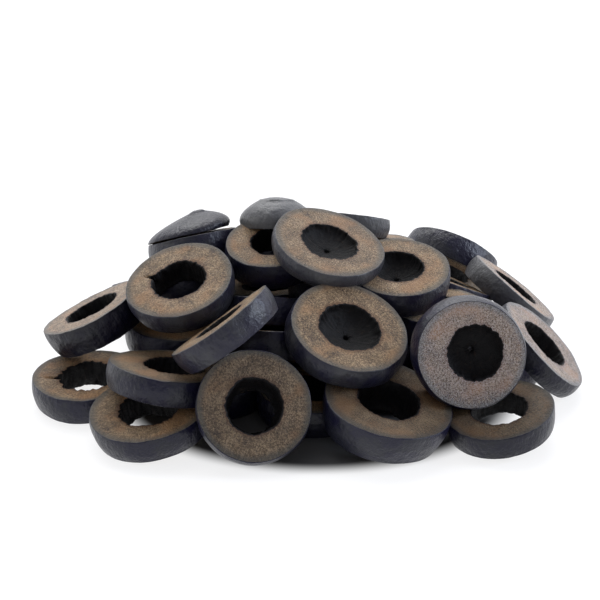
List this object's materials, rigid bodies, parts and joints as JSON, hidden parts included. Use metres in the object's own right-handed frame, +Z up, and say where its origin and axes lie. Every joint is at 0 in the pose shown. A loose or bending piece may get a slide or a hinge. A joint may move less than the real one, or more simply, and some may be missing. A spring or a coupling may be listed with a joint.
{
  "type": "heap of sliced black olives",
  "caption": "Loose heap of sliced, pitted black olives: rings with dark skin and brown cut faces, piled on a flat base.",
  "frame": {"origin": "centre of the heap's bounding box, on the table that it lies on", "axes": "+Z up, +X to the right and along the heap's length as the picture shows it, +Y away from the viewer"},
  "size_m": [0.08, 0.0662, 0.0248],
  "materials": {
    "black_olive": "satin, slightly moist"
  },
  "bodies": {
    "root": {"olive_rings": "black_olive"}
  },
  "joints": []
}
